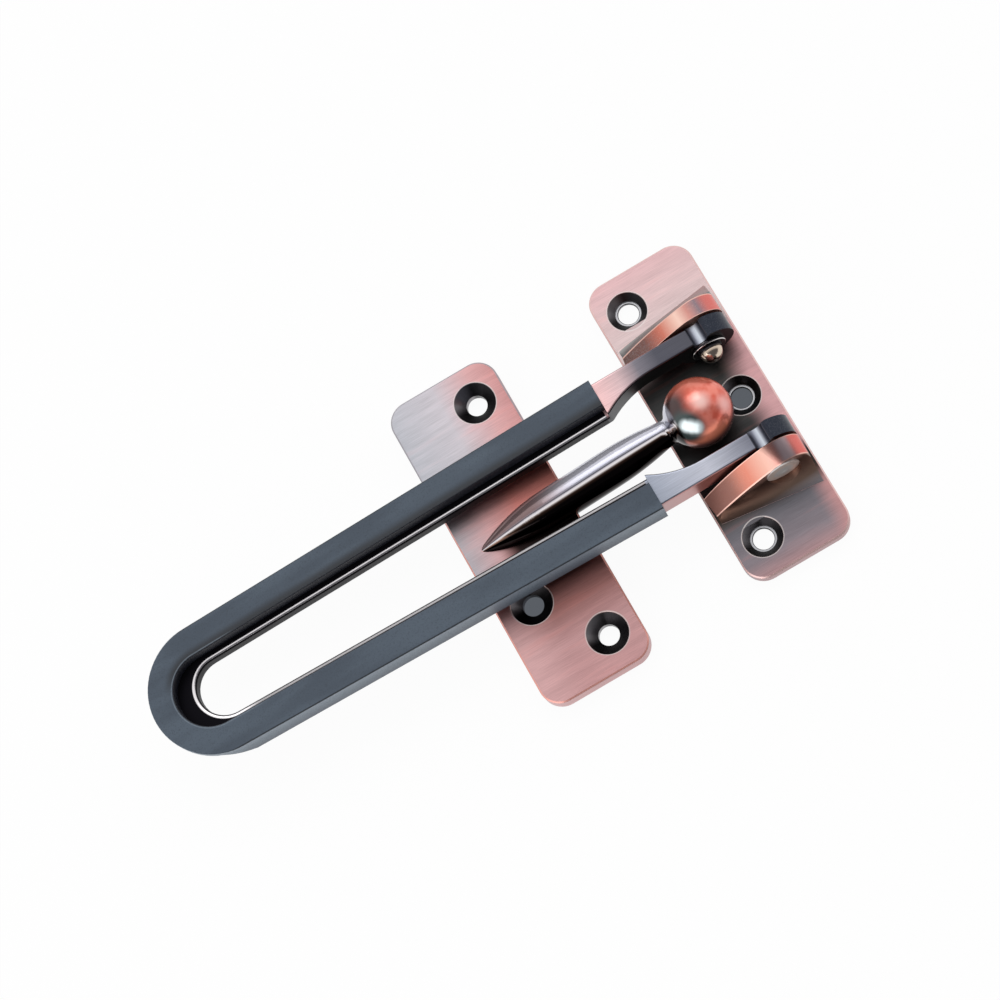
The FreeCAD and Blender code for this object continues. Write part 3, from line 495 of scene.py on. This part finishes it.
# Painted reflection and shade along the arms' tops, in other shades on the upper arm than on the lower one.
upper_arm = bar.shades(bar.x, (-21.8, screen(232, 190, 190)), (-16.0, screen(206, 178, 180)),
                       (-11.0, screen(122, 118, 126)), (-6.0, screen(84, 84, 93)), (2.5, screen(82, 82, 90)))
lower_arm = bar.shades(bar.x, (-21.8, screen(158, 164, 178)), (-9.0, screen(190, 192, 204)),
                       (-2.0, screen(150, 152, 164)), (2.5, screen(120, 122, 134)))
tops = bar.blend(lower_arm, upper_arm, bar.rise(bar.y, -1.0, 1.0))
tops = brushed(bar, tops, lines, bar.calc("MULTIPLY", streaks, 0.8))
level_face = bar.rise(bar.facing[2], 0.6, 0.85)
arm_outside = bar.shades(bar.x, (-21.8, screen(176, 140, 140)), (-9.0, screen(196, 136, 130)),
                         (2.0, screen(150, 100, 94)))
# The arms' inner sides are painted nearly black, painted shade over the dark coat.
arm_inside = bar.both(bar.rise(bar.calc("ABSOLUTE", bar.y), 13.6, 12.6), bar.outside(level_face))
skin = bar.coats(arm_outside, (tops, level_face), (night, arm_inside))

# %% Notch, eyes and the lip in the slot
notch_start, notch_end = 2.35, 6.05
notch = bar.band(bar.x, notch_start, notch_end, 0.05)
# Painted shade and highlight in the notch: dark ends, a light middle.
groove = bar.shades(bar.x, (2.3, screen(56, 56, 62)), (3.4, screen(120, 122, 136)),
                    (4.6, screen(206, 212, 222)),
                    (5.3, screen(110, 112, 124)), (6.1, screen(40, 40, 46)))
eye = bar.both(bar.rise(bar.x, 6.0, 6.2), bar.rise(bar.z, 9.0, 11.0))
eye_skin = bar.blend(screen(50, 54, 64), screen(92, 94, 102), bar.rise(lines, 0.5, 0.75))
skin = bar.coats(skin, (groove, bar.both(notch, level_face)),
                 (groove, bar.both(notch, bar.rise(bar.z, 12.5, 13.0))),
                 (eye_skin, bar.both(eye, bar.rise(bar.facing[2], 0.1, 0.3))))
in_slot = bar.rise(bar.x, -22.3, -22.6)
lip_turn_x, lip_spread = -127.0, 0.0152
off_middle = from_middle(bar, lip_turn_x, lip_spread)
# The lip's bright line is a painted highlight, fainter along the lower run.
lip = bar.both(in_slot, bar.band(off_middle, 7.0, 7.6, 0.08), bar.rise(bar.z, 10.8, 11.0))
lower_run = bar.both(bar.rise(bar.y, -2.0, -5.0), bar.rise(bar.x, lip_turn_x, lip_turn_x + 6.0))
lip = bar.both(lip, bar.level(1.0, 0.4, lower_run))
outer_wall = bar.both(in_slot, bar.rise(off_middle, 9.0, 9.4), bar.rise(bar.z, 11.7, 11.4))
# The slot beside the lip is painted nearly black, a painted shade.
skin = bar.coats(skin, (screen(22, 21, 25), in_slot), (screen(236, 232, 234), lip),
                 (screen(172, 152, 154), outer_wall))
bar.feed(bar.shader.inputs["Base Color"], skin)
bar.shader.inputs["Metallic"].default_value = 1.0
gloss = bar.level(bar.level(0.26, 0.42, lines), 0.5, in_slot)
bar.feed(bar.shader.inputs["Roughness"], bar.level(gloss, 0.2, lip))
relief(bar, lines, 0.015, 0.25)
print("notch from x %.2f to %.2f mm" % (notch_start, notch_end))

# %% [markdown]
# ## Sleeve
#
# The loop wears a moulded sleeve that saves the door's paint: matte slate blue, with the fine
# grain of a spark-eroded mould. Its walls towards the slot are painted nearly black, a painted
# shade, and so is a band of the upper arm's top next to the slot. Its outer sides are painted
# lighter towards the top, its outer top edge darker, and its end faces by the hinge dark, which is
# painted light and shade; a thin painted highlight runs along the slot's edge at the turn. The
# measure from the loop's middle line is used again, now counted from the slot's edge.

# %% Slate for the sleeve
slate = Finish("sleeve")
grain = slate.add("ShaderNodeTexNoise", slate.spot)
grain.inputs["Scale"].default_value = 3.2
grain.inputs["Detail"].default_value = 4.0
patches = stretched_noise(slate, 30.0, 5.0, 2.0)

turn_x, turn_radius, spread = -129.7, 8.6, 0.0176
from_slot = slate.calc("SUBTRACT", from_middle(slate, turn_x, spread), turn_radius)

tops = slate.blend(screen(62, 74, 88), screen(76, 89, 103), slate.rise(patches, 0.35, 0.65))
# The outer sides are painted lighter towards the top, painted light and shade.
sides = slate.shades(slate.z, (8.0, screen(86, 95, 106)), (12.0, screen(112, 124, 136)),
                     (15.0, screen(134, 146, 158)))
side = slate.rise(slate.facing[2], 0.6, 0.3)
# Painted shade on the upper arm's top next to the slot, a painted highlight along the slot's edge at the
# turn, and painted shade along the outer top edge.
upper_fade = slate.both(slate.rise(from_slot, 2.6, 0.5), slate.rise(slate.y, 2.0, 8.0), 0.9)
rim = slate.both(slate.band(from_slot, 0.3, 0.5, 0.12), slate.rise(slate.x, -118.0, -124.0))
outer_edge = slate.both(slate.rise(from_slot, 6.45, 6.6), slate.rise(slate.z, 15.1, 15.2))
skin = slate.coats(tops, (screen(24, 26, 32), upper_fade), (sides, side), (screen(40, 46, 54), outer_edge),
                   (screen(120, 132, 144), slate.both(rim, 0.7)),
                   (screen(22, 23, 34), slate.rise(from_slot, 0.25, 0.12)),
                   (screen(50, 58, 68), slate.both(slate.rise(grain.outputs["Fac"], 0.5, 0.7), 0.45)))
# The end faces by the hinge are painted dark, a painted shade.
ends = slate.rise(slate.facing[0], 0.6, 0.8)
skin = slate.coats(skin, (screen(30, 32, 38), slate.both(ends, slate.rise(slate.x, -40.0, -30.0))))
slate.feed(slate.shader.inputs["Base Color"], skin)
slate.feed(slate.shader.inputs["Roughness"], slate.level(0.42, 0.62, grain.outputs["Fac"]))
relief(slate, grain.outputs["Fac"], 0.03, 0.3)

# %% [markdown]
# ## Pins and washers
#
# These are turned on a lathe, so their marks run round the pin. Rings about the pin's axis,
# worked out from the distance to it, give the fine circles on each face. The washers' flat faces
# and rims are painted dark. The dome is bright, and the thin head outside the lower ear is painted
# bright, a painted reflection.

# %% Turned steel
pin_axis = (5.3, 9.8)
steel = Finish("bright_steel")
across = steel.add("ShaderNodeCombineXYZ", steel.x, steel.z).outputs[0]
from_axis = steel.add("ShaderNodeVectorMath", across, (*pin_axis, 0.0), operation="DISTANCE").outputs["Value"]
rings = steel.add("ShaderNodeTexNoise", noise_dimensions="1D")
steel.feed(rings.inputs["W"], from_axis)
rings.inputs["Scale"].default_value = 7.0
turned = steel.blend(screen(190, 186, 186), screen(232, 226, 222), rings.outputs["Fac"])
# The thin head is painted bright, a painted reflection; the washers' faces and rims are painted dark.
thin_head = steel.rise(steel.y, -19.0, -21.0)
plain_face = steel.blend(screen(44, 43, 46), screen(226, 206, 196), thin_head)
faces = steel.both(steel.rise(steel.facing[1], -0.8, -0.96), steel.rise(from_axis, 2.3, 2.6))
sides = steel.both(steel.rise(steel.calc("ABSOLUTE", steel.facing[1]), 0.4, 0.2),
                   steel.rise(from_axis, 2.8, 3.0), steel.rise(steel.y, 0.0, 1.0))
dome = steel.both(steel.rise(steel.y, 10.3, 10.2), steel.rise(steel.y, -5.0, 0.0))
steel.feed(steel.shader.inputs["Base Color"], steel.coats(
    turned, (screen(214, 196, 178), dome), (plain_face, faces), (screen(52, 50, 54), sides)))
steel.feed(steel.shader.inputs["Metallic"], steel.level(1.0, 0.4, thin_head))
steel.feed(steel.shader.inputs["Roughness"], steel.level(0.12, 0.26, rings.outputs["Fac"]))
relief(steel, rings.outputs["Fac"], 0.01, 0.2)
print("pin axis at x %.1f, z %.1f mm" % pin_axis)

# %% [markdown]
# ## Dressing the nodes
#
# A node keeps its mesh. Only its material is exchanged, and a Bevel modifier rounds the sharp
# edges a little, because a real edge always catches a thin line of light.

# %% Give each node its finish
wardrobe = {"hinge_plate": (copper, 0.22), "keeper": (keeper, 0.12), "swing_bar": (bar, 0.12),
            "bar_sleeve": (slate, 0.1)}
turned_piece = (steel, 0.12)
for name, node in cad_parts.items():
    finish, edge = wardrobe.get(name, turned_piece)
    node.data.materials.clear()
    node.data.materials.append(finish.material)
    bevel = node.modifiers.new("edges", "BEVEL")
    bevel.width = edge / 1000
    bevel.segments = 2
    bevel.limit_method = "ANGLE"
    bevel.angle_limit = math.radians(40)
    bevel.harden_normals = True
    print(name, finish.material.name, len(node.data.polygons), "faces")

# %% [markdown]
# ## Floor
#
# A picture for a catalogue has nothing but white round the part. The floor here glows white
# towards the camera and in reflections, and keeps a twentieth of its real shade, which leaves a
# faint shadow. Under the odd hole of each plate the floor is painted with a small grey disc, a
# painted shade that shows through the hole. Seen from below, the floor is clear, so that the
# backs of the plates can be looked at too.

# %% Floor
floor_mesh = bpy.data.meshes.new("floor")
reach, depth = 4.0, -0.0006
floor_mesh.from_pydata([(-reach, -reach, depth), (reach, -reach, depth), (reach, reach, depth),
                        (-reach, reach, depth)], [], [(0, 1, 2, 3)])
floor = bpy.data.objects.new("floor", floor_mesh)
bpy.context.scene.collection.objects.link(floor)

paper = Finish("floor")
# Grey discs of painted shade under the odd holes.
painted_hole_shade = screen(92, 96, 102)
odd_holes = near_hole(paper, [hinge_holes[2], keeper_holes[2]], 4.2, 0.2)
matte = paper.add("ShaderNodeBsdfDiffuse", paper.blend((0.97, 0.97, 0.97, 1.0), painted_hole_shade, odd_holes))
glow = paper.add("ShaderNodeEmission", paper.blend((1.0, 1.0, 1.0, 1.0), painted_hole_shade, odd_holes))
path = paper.add("ShaderNodeLightPath")
seen = paper.either(path.outputs["Is Camera Ray"], path.outputs["Is Glossy Ray"],
                    path.outputs["Is Transmission Ray"])
glow_share = 0.95
front = paper.add("ShaderNodeMixShader", paper.calc("MULTIPLY", seen, glow_share), matte.outputs[0],
                  glow.outputs[0])
from_below = paper.add("ShaderNodeNewGeometry").outputs["Backfacing"]
clear = paper.add("ShaderNodeBsdfTransparent")
mixed = paper.add("ShaderNodeMixShader", from_below, front.outputs[0], clear.outputs[0])
paper.feed(paper.output.inputs["Surface"], mixed.outputs[0])
paper.tree.nodes.remove(paper.shader)
floor_mesh.materials.append(paper.material)
print("floor %.0f m wide" % (reach * 2))

# %% [markdown]
# ## Sky
#
# Polished metal only looks like metal when there is something to mirror. The sky is nearly
# white, with a dark curtain over its front half, which the stem's lower side mirrors. The curtain
# ends above the horizon, and it is kept off the directions that the two plates mirror, so they
# stay clean.

# %% Sky
world = bpy.data.worlds.new("studio")
bpy.context.scene.world = world
world.use_nodes = True
tree = world.node_tree
tree.nodes.clear()


def sky_mask(value, low, high):
    """A mask over the sky, from 0 at low to 1 at high."""
    ramp = tree.nodes.new("ShaderNodeMapRange")
    ramp.interpolation_type = "SMOOTHSTEP"
    tree.links.new(value, ramp.inputs["Value"])
    ramp.inputs["From Min"].default_value = low
    ramp.inputs["From Max"].default_value = high
    return ramp.outputs[0]


direction = tree.nodes.new("ShaderNodeTexCoord")
parts = tree.nodes.new("ShaderNodeSeparateXYZ")
tree.links.new(direction.outputs["Generated"], parts.inputs[0])
front = sky_mask(parts.outputs["Y"], 0.0, -0.35)
above_horizon = sky_mask(parts.outputs["Z"], 0.12, 0.24)
dark = tree.nodes.new("ShaderNodeMath")
dark.operation = "MULTIPLY"
tree.links.new(front, dark.inputs[0])
tree.links.new(above_horizon, dark.inputs[1])
sky = tree.nodes.new("ShaderNodeMix")
sky.data_type = "RGBA"
sky.inputs["A"].default_value = (0.95, 0.95, 0.95, 1.0)
sky.inputs["B"].default_value = (0.12, 0.12, 0.13, 1.0)
tree.links.new(dark.outputs[0], sky.inputs["Factor"])
shine = tree.nodes.new("ShaderNodeBackground")
output = tree.nodes.new("ShaderNodeOutputWorld")
tree.links.new(sky.outputs["Result"], shine.inputs[0])
tree.links.new(shine.outputs[0], output.inputs[0])
print("sky ready")

# %% [markdown]
# ## Lamps
#
# Two soft lamps stand in for windows, one low at the front left and one high at the back. What
# counts is how bright a lamp's face is and how large it looks from the part, so those are what
# is given here, and the watts follow.

# %% Lamps
target = Vector((-0.03, 0.0, 0.01))


def soft_lamp(name, direction, width, height, brightness):
    """A rectangular soft lamp a metre away, from the brightness of its face."""
    data = bpy.data.lights.new(name, "AREA")
    data.shape = "RECTANGLE"
    data.size, data.size_y = width, height
    data.energy = brightness * math.pi * width * height
    lamp = bpy.data.objects.new(name, data)
    bpy.context.scene.collection.objects.link(lamp)
    away = Vector(direction).normalized()
    lamp.location = target + away
    lamp.rotation_euler = away.to_track_quat("Z", "Y").to_euler()
    lamp.visible_camera = False
    print("%s: %.1f W" % (name, data.energy))


soft_lamp("window_lamp", (-0.706, -0.572, 0.416), 0.9, 0.6, 1.8)
soft_lamp("top_lamp", (0.1, 0.62, 0.78), 0.8, 0.5, 1.3)

# %% [markdown]
# ## View transform
#
# The picture is shown with the Standard view transform.

# %% View transform
bpy.context.scene.view_settings.view_transform = "Standard"
